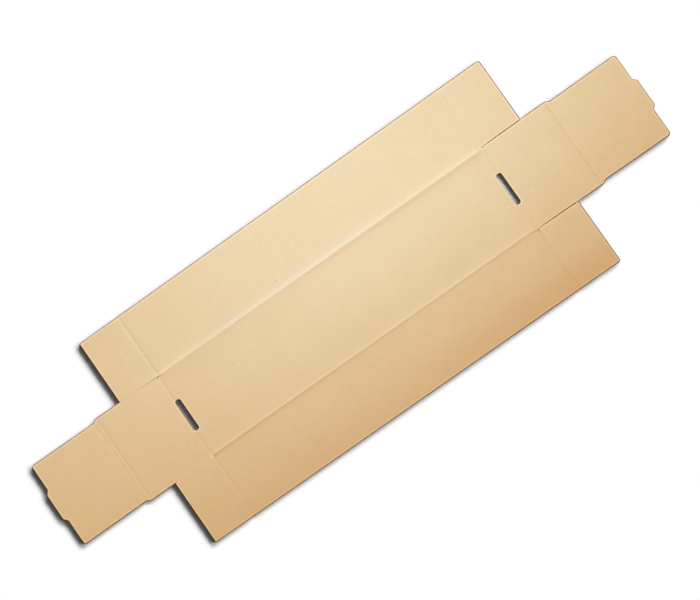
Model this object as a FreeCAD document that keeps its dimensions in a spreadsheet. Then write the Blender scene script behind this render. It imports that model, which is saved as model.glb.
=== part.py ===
import FreeCAD, Part

import math
import os

import Sketcher

# Flat die-cut blank of a roll-end tray, cut and creased from one sheet of thin
# single-wall corrugated board. It lies on its underside: X runs along the blank,
# Y across it, Z up from the underside, and the origin is under the middle of the base.

doc = FreeCAD.newDocument("TrayBlank")

# Driving dimensions in millimetres, each with what it measures
SIZES = (
    ("board_thickness", 1.6, "caliper of the board"),
    ("base_length", 290.0, "base, between the creases of the end walls"),
    ("base_width", 70.0, "base, between the creases of the side panels"),
    ("side_height", 53.3, "side panel, crease to free edge"),
    ("flap_crease_inset", 0.8, "corner flap crease, inboard of the end wall crease"),
    ("corner_flap_length", 34.6, "corner flap, crease to free end"),
    ("panel_corner_radius", 0.9, "corner of a corner flap"),
    ("end_wall_root_width", 71.6, "end wall where its slits start"),
    ("end_wall_roll_width", 72.3, "end wall at its roll-over creases"),
    ("end_wall_height", 55.7, "end wall, base crease to first roll-over crease"),
    ("roll_crease_spacing", 3.0, "between the two roll-over creases"),
    ("inner_panel_root_width", 68.8, "inner end panel at the second roll-over crease"),
    ("inner_panel_end_width", 69.4, "inner end panel at its free edge"),
    ("inner_panel_height", 56.5, "inner end panel, second roll-over crease to free edge"),
    ("inner_panel_corner_radius", 1.9, "free corner of an inner end panel"),
    ("tab_root_width", 27.1, "lock tab at the panel's free edge"),
    ("tab_tip_width", 21.3, "lock tab at its tip"),
    ("tab_length", 2.7, "lock tab, proud of the panel's free edge"),
    ("tab_corner_radius", 0.8, "tip corner of a lock tab"),
    ("slot_length", 26.4, "lock slot along the end crease"),
    ("slot_width", 4.4, "lock slot across the end crease"),
    ("slot_setback", 1.9, "lock slot middle, inboard of the end wall crease"),
    ("slot_corner_radius", 1.6, "corner of a lock slot"),
    ("slit_root_gap", 0.2, "slit between corner flap and end wall, at the crease"),
    ("slit_mouth_left", 0.3, "the same slit at its mouth, left end"),
    ("slit_mouth_right", 0.7, "the same slit at its mouth, right end"),
    ("edge_round", 0.3, "crushed rim along the cut outline, upper face"),
    ("groove_depth", 0.3, "pressed depth of an end crease"),
    ("groove_inner_width", 1.1, "end crease, its steep side nearer the base"),
    ("groove_outer_width", 2.0, "end crease, its gentle outer side"),
    ("roll_groove_half_width", 1.1, "roll-over crease, bottom to either side"),
    ("ridge_height", 0.27, "raised crest of a side crease"),
    ("ridge_inner_width", 1.9, "side crease, its steep side nearer the base"),
    ("ridge_outer_width", 4.6, "side crease, its gentle outer side"),
    ("ridge_end_gap", 2.3, "side crease end, short of the end wall crease"),
    ("cut_overrun", 1.0, "how far a cut runs past an open edge"),
)

sheet = doc.addObject("Spreadsheet::Sheet", "Sizes")
for row, (alias, size, meaning) in enumerate(SIZES, start=1):
    sheet.set(f"A{row}", meaning)
    sheet.set(f"B{row}", str(size))
    sheet.setAlias(f"B{row}", alias)
doc.recompute()

# Places along X, all from the middle of the base
END_CREASE_X = "(Sizes.base_length / 2)"
FLAP_CREASE_X = f"({END_CREASE_X} - Sizes.flap_crease_inset)"
FLAP_END_X = f"({FLAP_CREASE_X} + Sizes.corner_flap_length)"
ROLL_INNER_X = f"({END_CREASE_X} + Sizes.end_wall_height)"
ROLL_OUTER_X = f"({ROLL_INNER_X} + Sizes.roll_crease_spacing)"
INNER_END_X = f"({ROLL_OUTER_X} + Sizes.inner_panel_height)"
TAB_END_X = f"({INNER_END_X} + Sizes.tab_length)"
SLOT_X = f"({END_CREASE_X} - Sizes.slot_setback)"
SLIT_MOUTH_X = f"({FLAP_END_X} + Sizes.cut_overrun)"

# Places along Y, all from the middle of the base
SIDE_CREASE_Y = "(Sizes.base_width / 2)"
FREE_EDGE_Y = f"({SIDE_CREASE_Y} + Sizes.side_height)"
WALL_ROOT_Y = "(Sizes.end_wall_root_width / 2)"
WALL_ROLL_Y = "(Sizes.end_wall_roll_width / 2)"
INNER_ROOT_Y = "(Sizes.inner_panel_root_width / 2)"
INNER_END_Y = "(Sizes.inner_panel_end_width / 2)"
TAB_ROOT_Y = "(Sizes.tab_root_width / 2)"
TAB_TIP_Y = "(Sizes.tab_tip_width / 2)"
SLIT_ROOT_MIDDLE_Y = f"({WALL_ROOT_Y} + Sizes.slit_root_gap / 2)"

# The end wall widens evenly from its slits' root to its roll-over creases
WALL_FLARE = f"(({WALL_ROLL_Y} - {WALL_ROOT_Y}) / ({ROLL_INNER_X} - {FLAP_CREASE_X}))"
WALL_MOUTH_Y = f"({WALL_ROOT_Y} + {WALL_FLARE} * ({SLIT_MOUTH_X} - {FLAP_CREASE_X}))"

UNDERSIDE_Z = "0"
UPPER_FACE_Z = "Sizes.board_thickness"


def measure(formula):
    """The value, in millimetres, of a formula on the sheet's dimensions."""
    return float(sheet.evalExpression(formula))


def negative(formula):
    return f"-({formula})"


def mirrored(points, flip_x=False, flip_y=False):
    """The same corner points on the other side of the Y axis, the X axis or both."""
    return [(negative(x) if flip_x else x, negative(y) if flip_y else y) for x, y in points]


def four_quarters(points):
    """A closed outline from its upper right quarter, whose points run towards the X axis."""
    lower_right = mirrored(points, flip_y=True)[::-1]
    lower_left = mirrored(points, flip_x=True, flip_y=True)
    upper_left = mirrored(points, flip_x=True)[::-1]
    return points + lower_right + lower_left + upper_left


def new_sketch(name, plane_role, offset=None):
    """An empty sketch on one of the body's origin planes, or set off from it along its normal."""
    sketch = body.newObject("Sketcher::SketchObject", name)
    plane = [feature for feature in body.Origin.OriginFeatures if feature.Role == plane_role][0]
    sketch.AttachmentSupport = (plane, [""])
    sketch.MapMode = "FlatFace"
    if offset is not None:
        sketch.setExpression("AttachmentOffset.Base.z", offset)
    return sketch


def fix_point(sketch, geometry, end, x, y):
    """Dimensions one end of a line or arc from the sketch's origin."""
    for direction, formula in (("DistanceX", x), ("DistanceY", y)):
        constraint = Sketcher.Constraint(direction, -1, 1, geometry, end, measure(formula))
        number = sketch.addConstraint(constraint)
        sketch.setExpression(f"Constraints[{number}]", formula)


def draw_outline(sketch, points):
    """One closed outline of straight lines, each corner dimensioned."""
    corners = [FreeCAD.Vector(measure(x), measure(y), 0) for x, y in points]
    lines = []
    for start, end in zip(corners, corners[1:] + corners[:1]):
        lines.append(sketch.addGeometry(Part.LineSegment(start, end), False))
    for line, following in zip(lines, lines[1:] + lines[:1]):
        sketch.addConstraint(Sketcher.Constraint("Coincident", line, 2, following, 1))
    for line, (x, y) in zip(lines, points):
        fix_point(sketch, line, 1, x, y)


def draw_arc_to_crest(sketch, foot, crest):
    """One arc between a foot and the crest, level at the crest.

    Returns the arc and the numbers of its ends at the foot and at the crest."""
    width = foot[0] - crest[0]
    rise = crest[1] - foot[1]
    radius = (width**2 + rise**2) / (2 * abs(rise))
    centre = FreeCAD.Vector(crest[0], crest[1] - math.copysign(radius, rise), 0)
    circle = Part.Circle(centre, FreeCAD.Vector(0, 0, 1), radius)
    foot_angle = circle.parameter(FreeCAD.Vector(foot[0], foot[1], 0))
    crest_angle = circle.parameter(FreeCAD.Vector(crest[0], crest[1], 0))
    starts_at_foot = foot_angle < crest_angle
    angles = sorted((foot_angle, crest_angle))
    arc = sketch.addGeometry(Part.ArcOfCircle(circle, angles[0], angles[1]), False)
    return (arc, 1, 2) if starts_at_foot else (arc, 2, 1)


def draw_crease_section(sketch, crease, first_width, second_width, face, crest):
    """The section of one crease: an arc from each foot to the crest, closed along the face."""
    crest_point = (measure(crease), measure(crest))
    feet = (f"{crease} - {first_width}", f"{crease} + {second_width}")
    arcs = []
    for foot in feet:
        arc = draw_arc_to_crest(sketch, (measure(foot), measure(face)), crest_point)
        arcs.append(arc)
        fix_point(sketch, arc[0], arc[1], foot, face)
        sketch.addConstraint(Sketcher.Constraint("Vertical", arc[0], 3, arc[0], arc[2]))
    (first, first_foot, first_crest), (second, second_foot, second_crest) = arcs
    sketch.addConstraint(Sketcher.Constraint("Coincident", first, first_crest, second, second_crest))
    fix_point(sketch, first, first_crest, crease, crest)
    ends = [FreeCAD.Vector(measure(foot), measure(face), 0) for foot in feet]
    chord = sketch.addGeometry(Part.LineSegment(ends[0], ends[1]), False)
    sketch.addConstraint(Sketcher.Constraint("Coincident", chord, 1, first, first_foot))
    sketch.addConstraint(Sketcher.Constraint("Coincident", chord, 2, second, second_foot))


def extrude(kind, name, sketch, length=None, symmetric=False, backwards=False):
    """A pad or pocket of a sketch, by a length or right through, on one side or on both."""
    feature = body.newObject(kind, name)
    feature.Profile = sketch
    if length is None:
        feature.Type = "ThroughAll"
    else:
        feature.Type = "Length"
        feature.setExpression("Length", length)
    feature.SideType = "Symmetric" if symmetric else "One side"
    feature.Reversed = backwards
    doc.recompute()


def add_pad(name, sketch, length, symmetric=False):
    extrude("PartDesign::Pad", name, sketch, length, symmetric)


def cut_pocket(name, sketch, length=None, symmetric=False, backwards=False):
    """A pocket, which has to take board away."""
    before = body.Shape.Volume
    extrude("PartDesign::Pocket", name, sketch, length, symmetric, backwards)
    if not body.Shape.Volume < before:
        raise RuntimeError(f"{name} cuts nothing")


def round_edges(name, edge_names, radius):
    """A fillet on the named edges of the body as it stands."""
    base = body.Tip
    fillet = body.newObject("PartDesign::Fillet", name)
    fillet.Base = (base, edge_names)
    fillet.setExpression("Radius", radius)
    doc.recompute()


def upright_edges(shape, points):
    """The names of the edges that stand upright at the given corner points."""
    places = [(measure(x), measure(y)) for x, y in points]
    names = []
    for number, edge in enumerate(shape.Edges, start=1):
        low = edge.BoundBox
        if low.XLength > 0.001 or low.YLength > 0.001:
            continue
        if any(math.hypot(low.XMin - x, low.YMin - y) < 0.01 for x, y in places):
            names.append(f"Edge{number}")
    return names


def upper_face_edges(shape):
    """The names of the edges that lie in the board's upper face."""
    level = measure(UPPER_FACE_Z)
    names = []
    for number, edge in enumerate(shape.Edges, start=1):
        if edge.BoundBox.ZMin > level - 0.001:
            names.append(f"Edge{number}")
    return names


body = doc.addObject("PartDesign::Body", "tray_blank")
body.Label = "tray_blank"
body.Placement = FreeCAD.Placement()

# Base with its two side panels and their corner flaps, as one long rectangle
flap_corners = four_quarters([(FLAP_END_X, FREE_EDGE_Y)])
sketch = new_sketch("SidePanelOutline", "XY_Plane")
draw_outline(sketch, flap_corners)
add_pad("SidePanels", sketch, UPPER_FACE_Z)

# End walls, roll-over strips, inner end panels and lock tabs, across both ends
strip_quarter = [
    (FLAP_CREASE_X, WALL_ROOT_Y),
    (ROLL_INNER_X, WALL_ROLL_Y),
    (ROLL_OUTER_X, INNER_ROOT_Y),
    (INNER_END_X, INNER_END_Y),
    (INNER_END_X, TAB_ROOT_Y),
    (TAB_END_X, TAB_TIP_Y),
]
sketch = new_sketch("EndStripOutline", "XY_Plane")
draw_outline(sketch, four_quarters(strip_quarter))
add_pad("EndStrip", sketch, UPPER_FACE_Z)

# Corners of the cut outline
CORNERS = (
    ("FlapCorners", (FLAP_END_X, FREE_EDGE_Y), "Sizes.panel_corner_radius"),
    ("InnerPanelCorners", (INNER_END_X, INNER_END_Y), "Sizes.inner_panel_corner_radius"),
    ("TabCorners", (TAB_END_X, TAB_TIP_Y), "Sizes.tab_corner_radius"),
)
for name, corner, radius in CORNERS:
    round_edges(name, upright_edges(body.Shape, four_quarters([corner])), radius)

# The cutting die crushes the rim of the board a little along the whole outline
round_edges("CrushedRim", upper_face_edges(body.Shape), "Sizes.edge_round")

# Four slits part the corner flaps from the end walls, wider at the mouth than at the root
sketch = new_sketch("SlitOutline", "XY_Plane")
for flip_x, mouth_gap in ((False, "Sizes.slit_mouth_right"), (True, "Sizes.slit_mouth_left")):
    slit = [
        (FLAP_CREASE_X, WALL_ROOT_Y),
        (SLIT_MOUTH_X, WALL_MOUTH_Y),
        (SLIT_MOUTH_X, f"{WALL_MOUTH_Y} + {mouth_gap}"),
        (FLAP_CREASE_X, f"{WALL_ROOT_Y} + Sizes.slit_root_gap"),
    ]
    for flip_y in (False, True):
        draw_outline(sketch, mirrored(slit, flip_x, flip_y))
cut_pocket("Slits", sketch, backwards=True)

# One slot at each end of the base takes the lock tab of the folded-in panel
slot_corners = [
    (f"{SLOT_X} - Sizes.slot_width / 2", "Sizes.slot_length / 2"),
    (f"{SLOT_X} + Sizes.slot_width / 2", "Sizes.slot_length / 2"),
]
slot = slot_corners + mirrored(slot_corners, flip_y=True)[::-1]
sketch = new_sketch("SlotOutline", "XY_Plane")
draw_outline(sketch, slot)
draw_outline(sketch, mirrored(slot, flip_x=True))
cut_pocket("LockSlots", sketch, backwards=True)
both_slots = slot + mirrored(slot, flip_x=True)
SLOT_ROUND = "min(Sizes.slot_corner_radius; 0.45 * Sizes.slot_width; 0.45 * Sizes.slot_length)"
round_edges("SlotCorners", upright_edges(body.Shape, both_slots), SLOT_ROUND)

# Creases across the blank are grooves pressed into the upper face, steeper towards the base
GROOVE_BOTTOM_Z = f"{UPPER_FACE_Z} - Sizes.groove_depth"


def draw_end_grooves(sketch, crease, inner_width, outer_width):
    """The groove sections of one crease at the right end and its mirror image at the left."""
    draw_crease_section(sketch, crease, inner_width, outer_width, UPPER_FACE_Z, GROOVE_BOTTOM_Z)
    left = negative(crease)
    draw_crease_section(sketch, left, outer_width, inner_width, UPPER_FACE_Z, GROOVE_BOTTOM_Z)


GROOVE_WIDTHS = ("Sizes.groove_inner_width", "Sizes.groove_outer_width")
sketch = new_sketch("EndWallCreaseSection", "XZ_Plane")
draw_end_grooves(sketch, END_CREASE_X, *GROOVE_WIDTHS)
cut_pocket("EndWallCreases", sketch, f"2 * {SLIT_ROOT_MIDDLE_Y}", symmetric=True)

FLAP_CREASE_LENGTH = f"{FREE_EDGE_Y} - {SLIT_ROOT_MIDDLE_Y} + Sizes.cut_overrun"
for side, offset, backwards in (
    ("Upper", negative(SLIT_ROOT_MIDDLE_Y), False),
    ("Lower", SLIT_ROOT_MIDDLE_Y, True),
):
    sketch = new_sketch(f"{side}FlapCreaseSection", "XZ_Plane", offset)
    draw_end_grooves(sketch, FLAP_CREASE_X, *GROOVE_WIDTHS)
    cut_pocket(f"{side}FlapCreases", sketch, FLAP_CREASE_LENGTH, backwards=backwards)

# The roll-over is a pair of grooves, so that the end wall can turn right round and down
ROLL_WIDTHS = ("Sizes.roll_groove_half_width", "Sizes.roll_groove_half_width")
sketch = new_sketch("RollCreaseSection", "XZ_Plane")
draw_end_grooves(sketch, ROLL_INNER_X, *ROLL_WIDTHS)
draw_end_grooves(sketch, ROLL_OUTER_X, *ROLL_WIDTHS)
ROLL_CREASE_LENGTH = "Sizes.end_wall_roll_width + 2 * Sizes.cut_overrun"
cut_pocket("RollCreases", sketch, ROLL_CREASE_LENGTH, symmetric=True)

# Side creases are pressed from below: a ridge on the upper face over a groove in the underside
RIDGE_LENGTH = "Sizes.base_length - 2 * Sizes.ridge_end_gap"


def draw_side_creases(sketch, face):
    """The ridge sections of both side creases, standing on the given face."""
    crest = f"{face} + Sizes.ridge_height"
    inner, outer = "Sizes.ridge_inner_width", "Sizes.ridge_outer_width"
    draw_crease_section(sketch, SIDE_CREASE_Y, inner, outer, face, crest)
    draw_crease_section(sketch, negative(SIDE_CREASE_Y), outer, inner, face, crest)


sketch = new_sketch("SideCreaseUnderSection", "YZ_Plane")
draw_side_creases(sketch, UNDERSIDE_Z)
cut_pocket("SideCreaseUndersides", sketch, RIDGE_LENGTH, symmetric=True)
sketch = new_sketch("SideCreaseSection", "YZ_Plane")
draw_side_creases(sketch, UPPER_FACE_Z)
add_pad("SideCreaseRidges", sketch, RIDGE_LENGTH, symmetric=True)

doc.recompute()

# Every object is checked before anything is written
for item in doc.Objects:
    if "Invalid" in item.State or "Error" in item.State:
        raise RuntimeError(f"{item.Name} failed: {item.State}")
shape = body.Shape
if shape.isNull() or not shape.isValid() or len(shape.Solids) != 1:
    raise RuntimeError(f"{body.Label} is not one valid solid")

os.makedirs("parts", exist_ok=True)
shape.exportStep(os.path.join("parts", f"{body.Label}.step"))
bounds = shape.BoundBox
print(f"{body.Label}: {bounds.XLength:.2f} x {bounds.YLength:.2f} x {bounds.ZLength:.2f} mm")
print(f"volume {shape.Volume:.0f} cubic mm, {len(shape.Faces)} faces")
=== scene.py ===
import math

import bpy
import numpy as np
from mathutils import Matrix, Vector


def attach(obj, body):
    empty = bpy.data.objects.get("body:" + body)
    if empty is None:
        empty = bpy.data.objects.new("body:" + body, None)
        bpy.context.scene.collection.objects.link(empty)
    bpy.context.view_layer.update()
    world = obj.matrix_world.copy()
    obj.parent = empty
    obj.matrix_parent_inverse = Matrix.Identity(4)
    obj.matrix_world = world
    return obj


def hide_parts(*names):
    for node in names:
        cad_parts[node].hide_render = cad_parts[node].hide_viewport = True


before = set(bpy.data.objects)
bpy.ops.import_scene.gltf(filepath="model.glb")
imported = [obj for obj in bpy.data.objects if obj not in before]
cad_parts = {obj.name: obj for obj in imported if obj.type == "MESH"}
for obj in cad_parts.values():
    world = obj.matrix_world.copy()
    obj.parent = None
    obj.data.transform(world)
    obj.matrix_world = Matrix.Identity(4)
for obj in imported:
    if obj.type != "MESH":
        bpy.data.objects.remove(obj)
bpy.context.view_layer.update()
scene = bpy.context.scene
scene.view_settings.view_transform = "Standard"


# The blank itself: one sheet of thin single-wall corrugated kraft board, die-cut in one
# stroke and creased. Side creases are raised along the base, end creases are pressed in,
# and the cutting rule has crushed the rim. It is loose, and lies flat on the table.
# Lengths here are in millimetres, with pairs for the left and right end or the two ends
# of an edge. UPPER_LEVEL is the upper face between its creases, rims and waves.
THICKNESS = 1.6
UPPER_LEVEL = 1.51
BASE_HALF_WIDTH = 35.0
FREE_EDGE_Y = 88.3
FLAP_CREASE_X = 144.2
END_CREASE_X = 145.0
FLAP_END_X = 178.8
FLAP_CORNER = 0.9
ROLL_X = (200.7, 203.7)
WALL_HALF_WIDTHS = (35.8, 36.15)
INNER_HALF_WIDTHS = (34.4, 34.7)
INNER_END_X = 260.2
INNER_CORNER = 1.9
TAB_END_X = 262.9
TAB_HALF_WIDTHS = (13.55, 10.65)
TAB_NOSE = (0.215, 0.315)
TAB_BEVEL_COSINE = 0.68
SLOT_X = (140.9, 145.3)
SLOT_MIDDLE = (SLOT_X[0] + SLOT_X[1]) / 2
SLOT_HALF_LENGTH = 13.2
SLOT_CORNER = 1.6
SLIT_ROOT_GAP = 0.04
SLIT_MOUTH_GAPS = (0.02, 0.09)
EDGE_SPLAY = 0.4
RIM_RADIUS = 0.12
RIM_CRUSH = 0.03
FLUTE_PITCH = 3.41

# Grid lines: v runs across the blank like y, but stays straight where an edge of the blank
# flares or rounds. A slot's round ends no longer bend the lines from FADED_V on, and RIM
# sets lines close together along a cut edge.
TAB_LINE = TAB_HALF_WIDTHS[0] * WALL_HALF_WIDTHS[0] / (INNER_HALF_WIDTHS[1] - INNER_CORNER)
FLAP_LINE = WALL_HALF_WIDTHS[0] + SLIT_ROOT_GAP
FADED_V = 20
RIM = np.array([0.06, 0.14, 0.24, 0.36, 0.6, 1.0])


def run(start, stop, step):
    """Even numbers from start to stop, at most step apart."""
    return np.linspace(start, stop, math.ceil(abs(stop - start) / step) + 1)


def quarter(start, stop):
    """Numbers start + (stop - start) (1 - cos t) for t from 0 to 90 degrees, close at start."""
    turn = np.linspace(0, math.pi / 2, 8)
    return start + (stop - start) * (1 - np.cos(turn))


def both_sides(exact, others):
    """The exact numbers, those of the others that keep clear of them and of one another, and
    the negatives of all these."""
    exact = np.array(exact)
    others = np.concatenate(others)
    others = others[np.abs(others[:, None] - exact).min(1) > 0.04]
    half = np.unique(np.round(np.concatenate([exact, others]), 4))
    half = half[np.append(True, np.diff(half) > 0.03)]
    return np.concatenate([-half[:0:-1], half])


line_x = both_sides(
    (0.0, *SLOT_X, FLAP_CREASE_X, END_CREASE_X, FLAP_END_X, *ROLL_X, INNER_END_X, TAB_END_X),
    (
        run(0, 135, 5),
        run(136, 140, 1),
        SLOT_X[0] - RIM,
        quarter(SLOT_X[0], SLOT_X[0] + SLOT_CORNER),
        run(141.8, 147.6, 0.26),
        run(148, 149, 1),
        quarter(SLOT_X[1], SLOT_X[1] - SLOT_CORNER),
        SLOT_X[1] + RIM,
        run(149, 176, 3),
        quarter(FLAP_END_X, FLAP_END_X - FLAP_CORNER),
        FLAP_END_X - RIM,
        run(FLAP_END_X + 2, 197, 3),
        run(198, 206, 0.3),
        run(206.5, 208, 1.5),
        run(209, 257, 4),
        quarter(INNER_END_X, INNER_END_X - INNER_CORNER),
        INNER_END_X - RIM,
        INNER_END_X + RIM,
        TAB_END_X - RIM,
        quarter(TAB_END_X, TAB_END_X - TAB_NOSE[0]),
    ),
)
line_v = both_sides(
    (0.0, SLOT_HALF_LENGTH, TAB_LINE, BASE_HALF_WIDTH, WALL_HALF_WIDTHS[0], FLAP_LINE, FREE_EDGE_Y),
    (
        run(3, 12, 3),
        SLOT_HALF_LENGTH + RIM,
        TAB_LINE - RIM,
        run(16, 26, 2),
        run(27, 30.6, 1.2),
        run(31.4, 38.6, 0.4),
        run(39.5, 43.5, 2),
        WALL_HALF_WIDTHS[0] - RIM,
        FLAP_LINE + RIM,
        run(45, 50, 1.7),
        run(53, 86, 5),
        FREE_EDGE_Y - RIM,
    ),
)


def circle_drop(distance, radius):
    """How far a rounded corner has drawn back: radius - sqrt(radius^2 - distance^2)."""
    return radius - np.sqrt(np.maximum(radius**2 - np.clip(distance, 0, radius) ** 2, 0))


def slot_half_length(x):
    """Half length of the slot's hole at x, corners rounded. Beside the slot it eases back to
    the full half length, over 9 mm, so that the grid lines straighten out again."""
    inside = SLOT_HALF_LENGTH - circle_drop(
        np.maximum(SLOT_X[0] + SLOT_CORNER - x, x - SLOT_X[1] + SLOT_CORNER), SLOT_CORNER
    )
    beyond = np.clip(np.maximum(SLOT_X[0] - x, x - SLOT_X[1]) / 9, 0, 1)
    eased = SLOT_CORNER * beyond * beyond * (3 - 2 * beyond)
    return inside + eased


def strip_half_width(x):
    """Half width of the end wall, the roll-over and the inner panel at x, corners rounded."""
    edge = np.interp(
        x,
        (FLAP_CREASE_X, ROLL_X[0], ROLL_X[1], INNER_END_X),
        (*WALL_HALF_WIDTHS, *INNER_HALF_WIDTHS),
    )
    return edge - circle_drop(x - INNER_END_X + INNER_CORNER, INNER_CORNER)


def tab_half_width(x):
    """Half width of the lock tab at x: a straight bevel, its nose rounded off."""
    edge = np.interp(x, (INNER_END_X, TAB_END_X), TAB_HALF_WIDTHS)
    along_nose = (x - TAB_END_X + TAB_NOSE[0]) / TAB_NOSE[0]
    return edge - circle_drop(along_nose, 1.0) * TAB_NOSE[1]


def flap_inner_edge(x):
    """Edge of a corner flap along its slit: the end wall's flared edge and the slit's gap."""
    size = np.abs(x)
    along = (size - FLAP_CREASE_X) / (FLAP_END_X + 1 - FLAP_CREASE_X)
    mouth = np.where(x < 0, *SLIT_MOUTH_GAPS)
    flare = (WALL_HALF_WIDTHS[1] - WALL_HALF_WIDTHS[0]) / (ROLL_X[0] - FLAP_CREASE_X)
    wall = WALL_HALF_WIDTHS[0] + flare * (size - FLAP_CREASE_X)
    return wall + SLIT_ROOT_GAP + (mouth - SLIT_ROOT_GAP) * np.clip(along, 0, 1)


def flap_outer_edge(x):
    """Free long edge of a corner flap at x, its corner rounded."""
    return FREE_EDGE_Y - circle_drop(np.abs(x) - FLAP_END_X + FLAP_CORNER, FLAP_CORNER)


def across(x, v):
    """The place y of grid line v at x: v is stretched so that the lines meet each edge."""
    size, side = np.abs(x), np.abs(v)
    hole = slot_half_length(size)
    after_hole = (FADED_V - hole) / (FADED_V - SLOT_HALF_LENGTH)
    near = np.where(
        side < SLOT_HALF_LENGTH,
        side * hole / SLOT_HALF_LENGTH,
        np.where(side < FADED_V, hole + (side - SLOT_HALF_LENGTH) * after_hole, side),
    )
    strip = near * strip_half_width(size) / WALL_HALF_WIDTHS[0]
    tab = side * tab_half_width(size) / TAB_LINE
    inner, outer = flap_inner_edge(x), flap_outer_edge(x)
    flap = inner + (side - FLAP_LINE) / (FREE_EDGE_Y - FLAP_LINE) * (outer - inner)
    y = np.select(
        [size <= FLAP_CREASE_X, side >= FLAP_LINE, size <= INNER_END_X],
        [near, flap, strip],
        tab,
    )
    return np.sign(v) * y


def beside_slit(x, distance):
    """Distance to a slit as the rim's crush and colour take it. At the right less of the distance
    is left, more so towards the mouth: the liner is ripped there, and the wider brown rim is
    partly painted shade of the open slit. At the left the liner stays whole, and the distance
    counts as 0.19 + 3 distance, which leaves hardly any rim."""
    size = np.abs(x)
    torn_and_shaded = distance + np.interp(size, (FLAP_CREASE_X, 152, FLAP_END_X), (0.08, -0.12, -0.18))
    whole = 0.19 + 3 * distance
    return np.where(size < FLAP_END_X - 1.5, np.where(x < 0, whole, torn_and_shaded), distance)


def rim_distance(x, y):
    """How far inside the cut outline a point lies: the least distance to the edges near it."""
    size, side = np.abs(x), np.abs(y)
    corner_x, corner_y = size - FLAP_END_X + FLAP_CORNER, side - FREE_EDGE_Y + FLAP_CORNER
    in_corner = (corner_x > 0) & (corner_y > 0)
    flap = np.minimum(FLAP_END_X - size, beside_slit(x, side - flap_inner_edge(x)))
    flap = np.minimum(flap, FREE_EDGE_Y - side)
    flap = np.where(in_corner, FLAP_CORNER - np.hypot(corner_x, corner_y), flap)
    slot_x = np.abs(size - SLOT_MIDDLE) - (SLOT_X[1] - SLOT_X[0]) / 2 + SLOT_CORNER
    slot_y = side - SLOT_HALF_LENGTH + SLOT_CORNER
    slot = np.hypot(np.maximum(slot_x, 0), np.maximum(slot_y, 0)) - SLOT_CORNER
    root = np.hypot(size - FLAP_CREASE_X, side - WALL_HALF_WIDTHS[0] - SLIT_ROOT_GAP / 2)
    base = np.minimum(np.minimum(FREE_EDGE_Y - side, slot), root)
    panel_x, panel_y = size - INNER_END_X + INNER_CORNER, side - INNER_HALF_WIDTHS[1] + INNER_CORNER
    end = np.where(side > TAB_HALF_WIDTHS[0], INNER_END_X - size, 9.0)
    end = np.minimum(end, np.hypot(INNER_END_X - size, np.minimum(side - TAB_HALF_WIDTHS[0], 0)))
    strip = np.minimum(np.minimum(end, beside_slit(x, strip_half_width(size) - side)), slot)
    in_corner = (panel_x > 0) & (panel_y > 0)
    strip = np.where(in_corner, INNER_CORNER - np.hypot(panel_x, panel_y), strip)
    tab = np.minimum(TAB_END_X - size, (tab_half_width(size) - side) * TAB_BEVEL_COSINE)
    inside = np.select(
        [size < FLAP_CREASE_X, side >= flap_inner_edge(x) - 0.02, size < INNER_END_X],
        [base, flap, strip],
        tab,
    )
    return np.maximum(inside, 0)


def pressed(offset, inner, outer, roundness):
    """A crease's shape: exp(-(sqrt(o^2 + r^2) - r) / reach), with a reach for each side."""
    reach = np.where(offset < 0, inner, outer)
    return np.exp(-(np.sqrt(offset**2 + roundness**2) - roundness) / reach)


def smooth_step(low, high, value):
    """0 below low, 1 above high, and 3 t^2 - 2 t^3 between, with t the share of the way."""
    t = np.clip((value - low) / (high - low), 0, 1)
    return t * t * (3 - 2 * t)


# Side creases: place, softness and height of each crest, and where it ends. A flank is the
# share of its height in a steep foot, the foot's width, and the length its tail fades over.
FAR_CREST_Y = 35.03
FAR_CREST_SKEW = -0.0034
FAR_CREST_SOFTNESS = 0.72
FAR_CREST_HEIGHT = 0.365
FAR_OUTER_FLANKS = ((0.21, 2.5, 2.25), (0.21, 2.5, 2.25))
FAR_INNER_FLANKS = ((0.10, 1.0, 7.4), (0.48, 3.0, 4.5))
NEAR_CREST_Y = (34.77, 34.85)
NEAR_CREST_SOFTNESS = (0.44, 0.55)
NEAR_CREST_HEIGHT = (0.258, 0.290)
NEAR_OUTER_FLANKS = ((0.27, 1.37, 2.15), (0.36, 1.37, 6.85))
NEAR_INNER_FLANKS = ((0.25, 1.0, 4.0), (0.20, 1.0, 3.3))
CREST_ENDS = ((140.7, 143.8), (139.5, 143.2))
LIFTED_FLAP_X = (-179, -165, -150, -143, -139)
LIFTED_FLAP_SHARE = (0.06, 0.15, 0.36, 0.7, 1.0)


def between(pair, right):
    """A value that goes from the pair's left one to its right one, as right goes from 0 to 1."""
    return pair[0] + (pair[1] - pair[0]) * right


def flank(distance, flanks, right):
    """One side of a raised crease: share (1 - d / width)^1.5, plus a tail that fades with d."""
    share, width, fading_length = (between(pair, right) for pair in zip(*flanks))
    steep = np.clip(1 - distance / width, 0, 1) ** 1.5
    return share * steep + (1 - share) * np.exp(-distance / fading_length)


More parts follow.
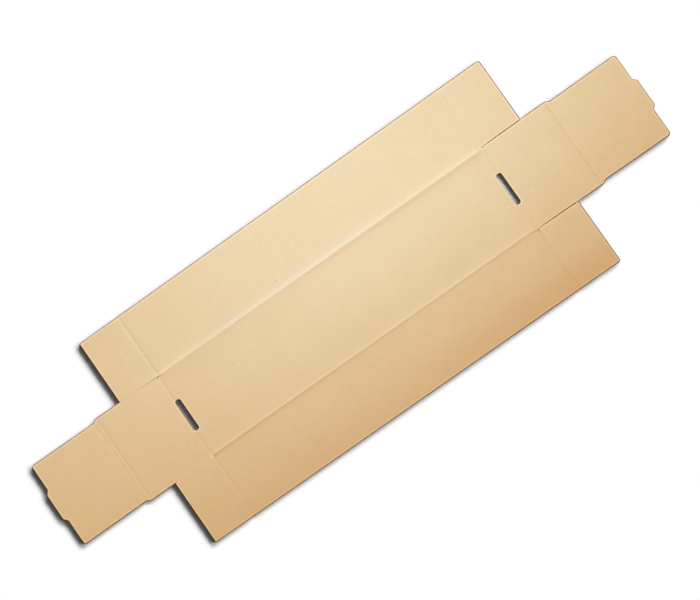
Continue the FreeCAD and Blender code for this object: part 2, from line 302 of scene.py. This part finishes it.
def ridges(x, y):
    """Height of the side creases: crest height times each flank's fall from the crest line,
    a slight wander along x, and a fade to nothing at the ends. The distance from the crest is
    softened, sqrt(o^2 + s^2) - s. The left far flap keeps some of the height at its slit."""
    far = y > 0
    right = smooth_step(-60, 60, x)
    crest = np.where(far, FAR_CREST_Y + FAR_CREST_SKEW * x, between(NEAR_CREST_Y, right))
    softness = np.where(far, FAR_CREST_SOFTNESS, between(NEAR_CREST_SOFTNESS, right))
    height = np.where(far, FAR_CREST_HEIGHT, between(NEAR_CREST_HEIGHT, right))
    offset = np.abs(y) - crest
    distance = np.sqrt(offset**2 + softness**2) - softness
    far_outer = flank(distance, FAR_OUTER_FLANKS, right)
    far_inner = flank(distance, FAR_INNER_FLANKS, right)
    near_outer = flank(distance, NEAR_OUTER_FLANKS, right)
    near_inner = flank(distance, NEAR_INNER_FLANKS, right)
    outer = np.where(far, far_outer, near_outer)
    inner = np.where(far, far_inner, near_inner)
    wander = 1 + 0.015 * np.sin(x / 11.0 + 1.0) + 0.01 * np.sin(x / 4.3 + y)
    left_end = 1 - smooth_step(*CREST_ENDS[0], -x)
    right_end = 1 - smooth_step(*CREST_ENDS[1], x)
    fading = np.where(x > 0, right_end, left_end)
    lifted_flap = far & (x < 0) & (y >= flap_inner_edge(x) - 0.005)
    lift = np.interp(x, LIFTED_FLAP_X, LIFTED_FLAP_SHARE)
    fading = np.where(lifted_flap, np.maximum(fading, lift), fading)
    return height * wander * np.where(offset > 0, outer, inner) * fading


# Grooves: depths, then how far each runs out inwards and outwards, and its roundness
LEFT_END_DEPTH = 0.78
RIGHT_END_DEPTHS = {"wall": 0.42, "far flap": 0.34, "near flap": 0.85}
ROLL_DEPTHS = ((0.52, 0.60), (0.50, 0.32))
END_GROOVE = (1.1, 0.8, 0.45)
ROLL_GROOVES = ((0.8, 0.9, 0.6), (0.9, 1.2, 0.6))


def grooves(x, y):
    """Depth of the end creases and of the two roll-over creases of each end: the sum of three
    pressed shapes along x, slightly uneven along y. The right ones lie 0.1 to 0.3 further out."""
    size, side = np.abs(x), np.abs(y)
    on_wall = side < WALL_HALF_WIDTHS[0] + 0.1
    right = x > 0
    crease = np.where(on_wall, END_CREASE_X + 0.3 * right, FLAP_CREASE_X)
    uneven = 1 + 0.08 * np.sin(y / 5.0 + x) + 0.05 * np.sin(y / 1.9)
    flap_depth = np.where(y > 0, RIGHT_END_DEPTHS["far flap"], RIGHT_END_DEPTHS["near flap"])
    right_depth = np.where(on_wall, RIGHT_END_DEPTHS["wall"], flap_depth)
    depth = np.where(right, right_depth, LEFT_END_DEPTH) * pressed(size - crease - 0.1, *END_GROOVE)
    first = between(ROLL_DEPTHS[0], right) * pressed(size - ROLL_X[0] - 0.1 * right, *ROLL_GROOVES[0])
    second = between(ROLL_DEPTHS[1], right) * pressed(size - ROLL_X[1] - 0.3 * right, *ROLL_GROOVES[1])
    return uneven * (depth + first + second)


def sag(x, y):
    """The sheet is never quite flat: a sum of four long sine waves, at most 0.02 up or down."""
    waves = np.sin(x / 21.0 + y / 37.0 + 0.4) * 0.5 + np.sin(x / 55.0 - y / 14.0 + 2.1) * 0.6
    waves = waves + np.sin(x / 9.0 - y / 23.0) * 0.22 + np.sin(y / 8.0 + x / 31.0) * 0.25
    return 0.012 * waves


# Cells of the grid that are board, and the heights of the two faces; the underside follows
# a raised crease from 0.02 up
grid_x, grid_v = np.meshgrid(line_x, line_v, indexing="ij")
grid_y = across(grid_x, grid_v)
mid_x = np.abs((line_x[1:] + line_x[:-1]) / 2)[:, None]
mid_v = np.abs((line_v[1:] + line_v[:-1]) / 2)[None, :]
in_slot = (mid_x > SLOT_X[0]) & (mid_x < SLOT_X[1]) & (mid_v < SLOT_HALF_LENGTH)
in_base = mid_x < FLAP_CREASE_X
in_flap = (mid_x < FLAP_END_X) & (mid_v > FLAP_LINE)
in_strip = (mid_x < INNER_END_X) & (mid_v < WALL_HALF_WIDTHS[0])
in_tab = mid_v < TAB_LINE
kept = (in_base | in_flap | in_strip | in_tab) & ~in_slot

inside_by = rim_distance(grid_x, grid_y)
crushed = circle_drop(RIM_RADIUS - inside_by, RIM_RADIUS) + RIM_CRUSH * np.exp(-inside_by / 0.5)
ridge_height = ridges(grid_x, grid_y)
top_z = UPPER_LEVEL + ridge_height - grooves(grid_x, grid_y) + sag(grid_x, grid_y) - crushed
under_z = np.maximum(ridge_height - 0.02, 0)

# Corner numbers of the kept cells: upper face, then the same grid for the underside
shape = grid_x.shape
number = np.arange(shape[0] * shape[1]).reshape(shape)
used = np.zeros(shape, bool)
for shift_x in (0, 1):
    for shift_v in (0, 1):
        part = used[shift_x : shape[0] - 1 + shift_x, shift_v : shape[1] - 1 + shift_v]
        part |= kept
compact = np.full(shape, -1)
compact[used] = np.arange(used.sum())
upper_count = int(used.sum())
a, b = compact[:-1, :-1][kept], compact[1:, :-1][kept]
c, d = compact[1:, 1:][kept], compact[:-1, 1:][kept]
upper_faces = np.stack([a, b, c, d], 1)
under_faces = upper_faces[:, ::-1] + upper_count

# The cut edge follows each side of a kept cell that has no kept neighbour
padded = np.pad(kept, 1)
edges = []
for step_x, step_v, start, stop in (
    (0, -1, (0, 0), (1, 0)),
    (1, 0, (1, 0), (1, 1)),
    (0, 1, (1, 1), (0, 1)),
    (-1, 0, (0, 1), (0, 0)),
):
    lone = kept & ~np.roll(padded, (-step_x, -step_v), (0, 1))[1:-1, 1:-1]
    cell_x, cell_v = np.nonzero(lone)
    first = compact[cell_x + start[0], cell_v + start[1]]
    second = compact[cell_x + stop[0], cell_v + stop[1]]
    edges.append(np.stack([first, second], 1))
edges = np.concatenate(edges)
rim_points, rim_index = np.unique(edges, return_inverse=True)
rim_index = rim_index.reshape(edges.shape)

# Both slots were struck a little towards +X, the left one as a whole, the right one mostly
# at its inner side; the shift is bounded by exp(-(dx / 4)^4 - (y / 17)^8) around a slot
around_slot = np.exp(-(((np.abs(grid_x) - SLOT_MIDDLE) / 4) ** 4) - (grid_y / 17) ** 8)
right_shift = np.interp(grid_x, (141.5, 144.5), (0.30, 0.06))
slot_shift = around_slot * np.where(grid_x < 0, 0.20, right_shift)
placed_x = grid_x + slot_shift
top = np.stack([placed_x[used], grid_y[used], top_z[used]], 1)
under = np.stack([placed_x[used], grid_y[used], under_z[used]], 1)

# The rule pushes the edge outwards as it cuts, so the edge splays towards the underside,
# a quarter more on the sides that face +X or +Y, less in the slots, and not at all in the
# slits, whose sides touch. Three rows of points lie between the two faces
ahead = top[edges[:, 1], :2] - top[edges[:, 0], :2]
outward = np.zeros((len(rim_points), 2))
np.add.at(outward, rim_index[:, 0], np.stack([ahead[:, 1], -ahead[:, 0]], 1))
np.add.at(outward, rim_index[:, 1], np.stack([ahead[:, 1], -ahead[:, 0]], 1))
outward /= np.linalg.norm(outward, axis=1)[:, None]
rim_x, rim_y = np.abs(top[rim_points, 0]), np.abs(top[rim_points, 1])
in_slit = (rim_x > FLAP_CREASE_X - 0.1) & (np.abs(rim_y - WALL_HALF_WIDTHS[0] - 0.1) < 0.8)
at_wall = 1 - smooth_step(FLAP_END_X - 0.5, FLAP_END_X + 3, rim_x)
at_slot = (np.abs(rim_x - SLOT_MIDDLE) < 3) & (rim_y < SLOT_HALF_LENGTH + 1)
splay = EDGE_SPLAY * (1 - in_slit * at_wall) * (1 - 0.7 * at_slot)
splay *= 1 + 0.25 * np.clip(outward.sum(1), 0, 1) * ~at_slot
splayed = outward * splay[:, None]
DOWN_SHARES = (0.12, 0.5, 0.9)
OUT_SHARES = (0.2, 0.75, 1.0)
rows = [top[rim_points].copy() for _ in DOWN_SHARES]
for row, share, out in zip(rows, DOWN_SHARES, OUT_SHARES):
    row[:, 2] = top[rim_points, 2] * (1 - share) + under[rim_points, 2] * share
    row[:, :2] += splayed * out
under[rim_points, :2] += splayed
levels = [rim_points]
row_starts = 2 * upper_count + len(rim_points) * np.arange(len(rows))
levels += [start + np.arange(len(rim_points)) for start in row_starts]
levels.append(rim_points + upper_count)
walls = []
for high, low in zip(levels[:-1], levels[1:]):
    first, second = rim_index[:, 0], rim_index[:, 1]
    walls.append(np.stack([high[second], high[first], low[first], low[second]], 1))

points = np.concatenate([top, under] + rows) * 0.001
faces = np.concatenate([upper_faces, under_faces] + walls)
mesh = bpy.data.meshes.new("tray_blank_board")
mesh.from_pydata(points.tolist(), [], faces.tolist())
mesh.polygons.foreach_set("use_smooth", np.ones(len(faces), bool))
in_rows = np.zeros(len(rows) * len(rim_points))
rim_values = np.concatenate([inside_by[used], inside_by[used], in_rows])
cut_values = np.zeros(len(points))
cut_values[2 * upper_count :] = 1
for name, values in (("rim_mm", rim_values), ("cut_edge", cut_values)):
    attribute = mesh.attributes.new(name, "FLOAT", "POINT")
    attribute.data.foreach_set("value", values.astype(np.float32))
mesh.update()
board = bpy.data.objects.new("tray_blank_board", mesh)
scene.collection.objects.link(board)


def linear(red, green, blue):
    """A colour given as 0 to 255 screen values, as the linear values that shaders take."""
    shares = np.array([red, green, blue]) / 255
    return (*np.where(shares <= 0.04045, shares / 12.92, ((shares + 0.055) / 1.055) ** 2.4), 1.0)


# The board's look: unbleached kraft liner, matt and a little uneven, with brown rims that are
# partly torn fibre and partly painted shade, and some painted light and shade on its face
material = bpy.data.materials.new("kraft_board")
material.use_nodes = True
tree = material.node_tree
tree.nodes.clear()


def add(kind, inputs, **settings):
    """A node of the board's tree; inputs gives a number or an output to link, by socket."""
    made = tree.nodes.new("ShaderNode" + kind)
    for name, value in settings.items():
        setattr(made, name, value)
    for socket, value in inputs.items():
        if isinstance(value, bpy.types.NodeSocket):
            tree.links.new(value, made.inputs[socket])
        else:
            made.inputs[socket].default_value = value
    return made


def calc(operation, first, second=0.0, third=0.0):
    """The output of a Math node."""
    return add("Math", {0: first, 1: second, 2: third}, operation=operation).outputs[0]


def fade(value, start, stop, low=0.0, high=1.0):
    """A smooth change from low to high while the value goes from start to stop."""
    inputs = {"Value": value, "From Min": start, "From Max": stop, "To Min": low, "To Max": high}
    return add("MapRange", inputs, interpolation_type="SMOOTHSTEP").outputs["Result"]


def noise(per_metre, detail=2.0, stretch=(1.0, 1.0, 1.0), roughness=0.5):
    """Clouds of values around 0.5, about per_metre to the metre; a stretch under 1 lengthens
    them along that axis."""
    scaled = add("Mapping", {"Vector": place_out, "Scale": stretch}).outputs[0]
    inputs = {"Vector": scaled, "Scale": per_metre, "Detail": detail, "Roughness": roughness}
    return add("TexNoise", inputs).outputs[0]


def blend(share, first, second):
    """A mix of two colours: the first one where share is 0, the second one where it is 1."""
    made = add("Mix", {0: share}, data_type="RGBA")
    for socket, value in ((6, first), (7, second)):
        if isinstance(value, bpy.types.NodeSocket):
            tree.links.new(value, made.inputs[socket])
        else:
            made.inputs[socket].default_value = value
    return made.outputs[2]


place_out = add("TexCoord", {}).outputs["Object"]
parts = add("SeparateXYZ", {0: place_out})
along_mm = calc("MULTIPLY", parts.outputs[0], 1000.0)
across_mm = calc("MULTIPLY", parts.outputs[1], 1000.0)
height_mm = calc("MULTIPLY", parts.outputs[2], 1000.0)
rim_mm = add("Attribute", {}, attribute_name="rim_mm").outputs["Fac"]
cut_edge = add("Attribute", {}, attribute_name="cut_edge").outputs["Fac"]

# Liner: the fibres give soft clouds, a fine mottle and short dashes along the paper's run, which
# is across the flutes, and the flutes show through very faintly, as a painted shade of their ripple
clouds = noise(45, 3)
mottle = noise(260, 3, roughness=0.6)
fibres = noise(900, 3, (1.0, 0.4, 1.0), 0.65)
flute = calc("SINE", calc("MULTIPLY", across_mm, 2 * math.pi / FLUTE_PITCH))
tone = calc("MULTIPLY_ADD", clouds, 0.05, 0.975)
tone = calc("MULTIPLY_ADD", calc("SUBTRACT", mottle, 0.5), 0.08, tone)
tone = calc("MULTIPLY_ADD", calc("SUBTRACT", fibres, 0.5), 0.045, tone)
tone = calc("MULTIPLY_ADD", flute, 0.002, tone)


def streak(start, stop, y, half_width):
    """A mask that is 1 on a line along the blank at y, from start to stop, soft all round."""
    off = calc("ABSOLUTE", calc("SUBTRACT", across_mm, y))
    mask = fade(off, 0.1, half_width, 1.0, 0.0)
    mask = calc("MULTIPLY", mask, fade(along_mm, start, start + 6))
    return calc("MULTIPLY", mask, fade(along_mm, stop - 12, stop, 1.0, 0.0))


# Small ridges that the machine's rollers left along the base and the left end wall, each
# painted as a shaded line with a lit, paler line beside it, and a painted shade beside the
# far slit of the left end
broken = fade(noise(420, 2), 0.35, 0.6)
for start, stop, y, half_width, change in (
    (-137, -55, -0.9, 0.9, -0.045),
    (-137, -91, -9.2, 0.8, -0.035),
    (59, 134, -14.8, 0.8, -0.03),
    (-180, -150, 6.6, 0.8, -0.035),
):
    for line_y, line_change in ((y, change), (y + 1.2, -0.7 * change)):
        mask = calc("MULTIPLY", streak(start, stop, line_y, half_width), broken)
        tone = calc("MULTIPLY_ADD", mask, line_change, tone)
tone = calc("MULTIPLY_ADD", streak(-184, -140, 35.35, 0.8), -0.035, tone)

# A paler line outside three of the end and roll creases is a painted highlight on their outer flanks
for x, low_y, high_y, half_width, change in (
    (-145.3, -90, 90, 1.4, 0.03),
    (-201.4, -36, 36, 1.1, 0.022),
    (145.8, -90, -5, 1.4, 0.024),
):
    off = calc("ABSOLUTE", calc("SUBTRACT", along_mm, x))
    mask = calc("MULTIPLY", fade(off, 0.1, half_width, 1.0, 0.0), fade(across_mm, low_y - 4, low_y))
    mask = calc("MULTIPLY", mask, fade(across_mm, high_y, high_y + 4, 1.0, 0.0))
    tone = calc("MULTIPLY_ADD", mask, change, tone)

hue = fade(noise(18, 2), 0.3, 0.7)
kraft = blend(hue, linear(232, 205, 163), linear(231, 204, 160))
kraft = add("VectorMath", {0: kraft, "Scale": tone}, operation="SCALE").outputs[0]

# Painted light in the paper's colour: redder along the near long edge, most of all towards the
# right, as painted shade, and less yellow beside the far side crease, as a painted highlight
painted_shade_near_edge = fade(across_mm, -82, -62, 1.0, 0.0)
painted_shade_near_edge = calc("MULTIPLY", painted_shade_near_edge, fade(along_mm, -10, 150, 0.3, 1.0))
from_crease = calc("ABSOLUTE", calc("SUBTRACT", across_mm, 37.5))
from_middle = calc("ABSOLUTE", calc("ADD", along_mm, 15))
painted_highlight_far_crease = fade(from_crease, 2.5, 10, 1.0, 0.0)
painted_highlight_far_crease = calc("MULTIPLY", painted_highlight_far_crease, fade(from_middle, 60, 105, 1.0, 0.0))
for mask, tint in ((painted_shade_near_edge, (0.985, 0.90, 0.87)), (painted_highlight_far_crease, (1.0, 1.0, 1.09))):
    tinted = add("VectorMath", {0: kraft, 1: tint}, operation="MULTIPLY").outputs[0]
    kraft = blend(mask, kraft, tinted)

# Dark flecks of unpulped fibre, under a millimetre across
cells = add("TexVoronoi", {"Vector": place_out, "Scale": 95.0}, voronoi_dimensions="2D")
chosen = fade(add("SeparateXYZ", {0: cells.outputs["Color"]}).outputs[0], 0.88, 0.90)
fleck = calc("MULTIPLY", fade(cells.outputs["Distance"], 0.015, 0.04, 1.0, 0.0), chosen)
kraft = blend(calc("MULTIPLY", fleck, 0.3), kraft, linear(150, 112, 72))

# Single marks on the liner, as place, half length and half width in millimetres, turn,
# share and colour: two pale chips, four specks, three dots beside the far slit of the left
# end, a small bump beside its near slit painted as its shaded and its lit side, and a scratch
for x, y, half_length, half_width, degrees, share, colour in (
    (-89.8, 9.0, 0.75, 0.6, 0, 0.8, (250, 238, 196)),
    (156.0, -10.3, 0.8, 0.5, 30, 0.7, (250, 238, 200)),
    (-158.3, 15.7, 0.7, 0.6, 0, 0.45, (176, 138, 96)),
    (-32.7, 42.6, 1.2, 0.4, 10, 0.5, (150, 112, 72)),
    (118.4, 69.3, 0.6, 0.5, 0, 0.5, (170, 130, 86)),
    (-49.5, 73.8, 0.6, 0.5, 0, 0.5, (170, 130, 86)),
    (-144.7, 35.5, 0.9, 0.4, 0, 0.5, (150, 104, 62)),
    (-148.9, 35.6, 0.8, 0.4, 0, 0.4, (160, 112, 66)),
    (-153.0, 35.6, 1.0, 0.4, 0, 0.3, (170, 118, 68)),
    # a small bump, painted as a shaded side and a lit side
    (-162.4, -35.5, 1.3, 0.45, 0, 0.45, (150, 108, 66)),
    (-161.6, -34.5, 1.2, 0.45, 0, 0.6, (244, 216, 170)),
    (-153.8, -16.7, 2.2, 0.35, 55, 0.3, (190, 150, 104)),
):
    turned = math.radians(degrees)
    from_x, from_y = calc("SUBTRACT", along_mm, x), calc("SUBTRACT", across_mm, y)
    ahead_x = calc("MULTIPLY", from_x, math.cos(turned) / half_length)
    ahead = calc("MULTIPLY_ADD", from_y, math.sin(turned) / half_length, ahead_x)
    aside_y = calc("MULTIPLY", from_y, math.cos(turned) / half_width)
    aside = calc("MULTIPLY_ADD", from_x, -math.sin(turned) / half_width, aside_y)
    off = calc("ADD", calc("MULTIPLY", ahead, ahead), calc("MULTIPLY", aside, aside))
    kraft = blend(fade(off, 0.15, 1.2, share, 0.0), kraft, linear(*colour))

# Rim: a painted highlight on the crushed liner just inside the cut outline, and a dark brown
# very edge, partly bare torn fibre and partly painted shade along the outline
painted_rim_highlight = calc("MULTIPLY", fade(rim_mm, 0.35, 0.6), fade(rim_mm, 0.9, 1.7, 1.0, 0.0))
kraft = blend(calc("MULTIPLY", painted_rim_highlight, 0.58), kraft, linear(250, 226, 188))
torn_and_shaded = fade(noise(700, 3), 0.42, 0.58)
brown = calc("MULTIPLY", fade(rim_mm, 0.08, 0.3, 1.0, 0.0), calc("MULTIPLY_ADD", torn_and_shaded, 0.3, 0.7))
kraft = blend(brown, kraft, linear(148, 64, 0))

# Cut edge: two liners with the wavy medium between them, and the flute mouths between
# those, painted dark as the shade inside them
wave = calc("MULTIPLY_ADD", flute, 0.5, 0.8)
medium = fade(calc("ABSOLUTE", calc("SUBTRACT", height_mm, wave)), 0.12, 0.3, 1.0, 0.0)
liner = fade(calc("ABSOLUTE", calc("SUBTRACT", height_mm, 0.8)), 0.5, 0.62)
paper = calc("MAXIMUM", medium, liner)
edge_colour = blend(paper, linear(70, 44, 28), linear(116, 78, 48))
kraft = blend(cut_edge, kraft, edge_colour)

# Paper grain: a relief of a few thousandths of a millimetre
relief = calc("MULTIPLY_ADD", mottle, 0.002, calc("MULTIPLY", fibres, 0.002))
relief = calc("MULTIPLY_ADD", flute, 0.0015, relief)
bump = add("Bump", {"Height": relief, "Distance": 0.001, "Strength": 1.0})
shader = add(
    "BsdfPrincipled",
    {
        "Base Color": kraft,
        "Roughness": calc("MULTIPLY_ADD", mottle, 0.12, 0.8),
        "Specular IOR Level": 0.15,
        "Normal": bump.outputs[0],
    },
)
add("OutputMaterial", {"Surface": shader.outputs[0]})
mesh.materials.append(material)
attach(board, "root")
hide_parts("tray_blank")


# The table: a smooth matt white surface, wide enough that no rim shows.
# The blank only lies on it, a hair's breadth above.
FLOOR_LEVEL = -0.00002
HALF_SIZE = 6.0
floor_mesh = bpy.data.meshes.new("table_top")
corners = [(-HALF_SIZE, -HALF_SIZE), (HALF_SIZE, -HALF_SIZE)]
corners += [(HALF_SIZE, HALF_SIZE), (-HALF_SIZE, HALF_SIZE)]
floor_mesh.from_pydata([(x, y, FLOOR_LEVEL) for x, y in corners], [], [(0, 1, 2, 3)])
floor = bpy.data.objects.new("table_top", floor_mesh)
scene.collection.objects.link(floor)
white = bpy.data.materials.new("table_white")
white.use_nodes = True
surface = white.node_tree.nodes["Principled BSDF"]
surface.inputs["Base Color"].default_value = (0.95, 0.95, 0.95, 1)
surface.inputs["Roughness"].default_value = 0.9
surface.inputs["Specular IOR Level"].default_value = 0.0
floor_mesh.materials.append(white)


# Light: a bright room, with a window low over the far long edge. Warm light from above and
# cool light from the window and a lamp over it fall on the board alone, and bring out its
# creases. White panes low over the right-hand end light the table alone, for the shadow.
def light_only(lamp, name, piece):
    """Lets a lamp light one piece alone; everything still casts its shadow."""
    group = bpy.data.collections.new(name)
    group.objects.link(piece)
    lamp.light_linking.receiver_collection = group


def lamp_object(name, kind, colour, energy):
    """A lamp of that kind in the scene, itself unseen by the camera."""
    data = bpy.data.lights.new(name, kind)
    data.color = colour
    data.energy = energy
    lamp = bpy.data.objects.new(name, data)
    scene.collection.objects.link(lamp)
    lamp.visible_camera = False
    return lamp


def aim(lamp, towards):
    """Turns a lamp to shine in the direction towards."""
    lamp.rotation_mode = "QUATERNION"
    lamp.rotation_quaternion = Vector(towards).to_track_quat("-Z", "Y")


def sun(name, colour, even_share, azimuth, elevation, width):
    """A sun at that azimuth, counted from +X, of that width in degrees. even_share is the
    light that it gives on level ground, where 1 shows a white surface as white."""
    flat, up = math.radians(azimuth), math.radians(elevation)
    lamp = lamp_object(name, "SUN", colour, even_share * math.pi / math.sin(up))
    lamp.data.angle = math.radians(width)
    rise = (math.cos(flat) * math.cos(up), math.sin(flat) * math.cos(up), math.sin(up))
    aim(lamp, -Vector(rise))
    return lamp


overhead = sun("overhead", (1.0, 0.54, 0.06), even_share=0.572, azimuth=90, elevation=90, width=40)
light_only(overhead, "lit_by_overhead", board)
window = sun("window", (0.41, 0.71, 1.0), even_share=0.415, azimuth=90, elevation=12, width=9)
light_only(window, "lit_by_window", board)

# The lamp's cone is wide and its rim soft, so the light only fades across the board
CONE_EDGE_COSINE = 0.1
soft = lamp_object("soft_lamp", "SPOT", (0.41, 0.685, 1.0), 3.2)
soft.data.spot_size = 2 * math.acos(CONE_EDGE_COSINE)
soft.data.spot_blend = 0.36
soft.data.shadow_soft_size = 0.05
soft.location = (0.0598, 0.1209, 0.3244)
aim(soft, Vector((0.0389, 0.4595, 0)) - soft.location)
light_only(soft, "lit_by_soft_lamp", board)

# Panes of the right-hand window as azimuth, elevation, share of the table's light and width:
# five narrow ones side by side, and a broad one for the light that fills the shadow
for azimuth, elevation, share, width in (
    (-33.0, 16.5, 0.105, 10.0),
    (-12.0, 14.4, 0.225, 10.0),
    (14.0, 12.4, 0.295, 10.0),
    (31.0, 14.4, 0.250, 10.0),
    (46.0, 15.5, 0.085, 10.0),
    (0.0, 30.0, 0.055, 40.0),
):
    pane = sun("low_pane", (1.0, 1.0, 1.0), share, azimuth, elevation, width)
    light_only(pane, "lit_by_low_pane", floor)

# Surroundings: a little even grey light, seen as plain white
world = bpy.data.worlds.new("surround")
scene.world = world
world.use_nodes = True
air = world.node_tree
air.nodes.clear()
ray = air.nodes.new("ShaderNodeLightPath")
seen = air.nodes.new("ShaderNodeMath")
seen.operation = "MAXIMUM"
air.links.new(ray.outputs["Is Camera Ray"], seen.inputs[0])
shine = air.nodes.new("ShaderNodeMath")
shine.operation = "MAXIMUM"
air.links.new(ray.outputs["Is Glossy Ray"], shine.inputs[0])
air.links.new(ray.outputs["Is Transmission Ray"], shine.inputs[1])
air.links.new(shine.outputs[0], seen.inputs[1])
glow = air.nodes.new("ShaderNodeMix")
glow.data_type = "RGBA"
glow.inputs[6].default_value = (0.05, 0.05, 0.05, 1)
glow.inputs[7].default_value = (1, 1, 1, 1)
air.links.new(seen.outputs[0], glow.inputs[0])
sky = air.nodes.new("ShaderNodeBackground")
air.links.new(glow.outputs[2], sky.inputs["Color"])
world_out = air.nodes.new("ShaderNodeOutputWorld")
air.links.new(sky.outputs[0], world_out.inputs["Surface"])


# Camera: almost straight above the blank, a little over a metre off, turned by 35 degrees.
# The turn, the two small tilts and the place of the middle of the blank's upper face, as
# the camera has it, were found from the corners of the blank in the picture.
TURN = 0.613013851
TILT_Y = -0.0584497446
TILT_X = -0.0457455262
MIDDLE_FROM_CAMERA = Vector((-0.0026176115, -0.0020535958, -1.0904685039))
camera_data = bpy.data.cameras.new("camera")
camera_data.sensor_width = 36
camera_data.lens = 77.143
camera_data.clip_start = 0.01
camera_data.clip_end = 100
camera = bpy.data.objects.new("camera", camera_data)
scene.collection.objects.link(camera)
scene.camera = camera
tilt = Matrix.Rotation(TILT_Y, 3, "Y") @ Matrix.Rotation(TILT_X, 3, "X")
to_camera = Matrix.Rotation(TURN, 3, "Z") @ tilt
from_camera = to_camera.transposed()
middle = Vector((0, 0, THICKNESS * 0.001))
camera_place = middle - from_camera @ MIDDLE_FROM_CAMERA
camera.matrix_world = Matrix.Translation(camera_place) @ from_camera.to_4x4()
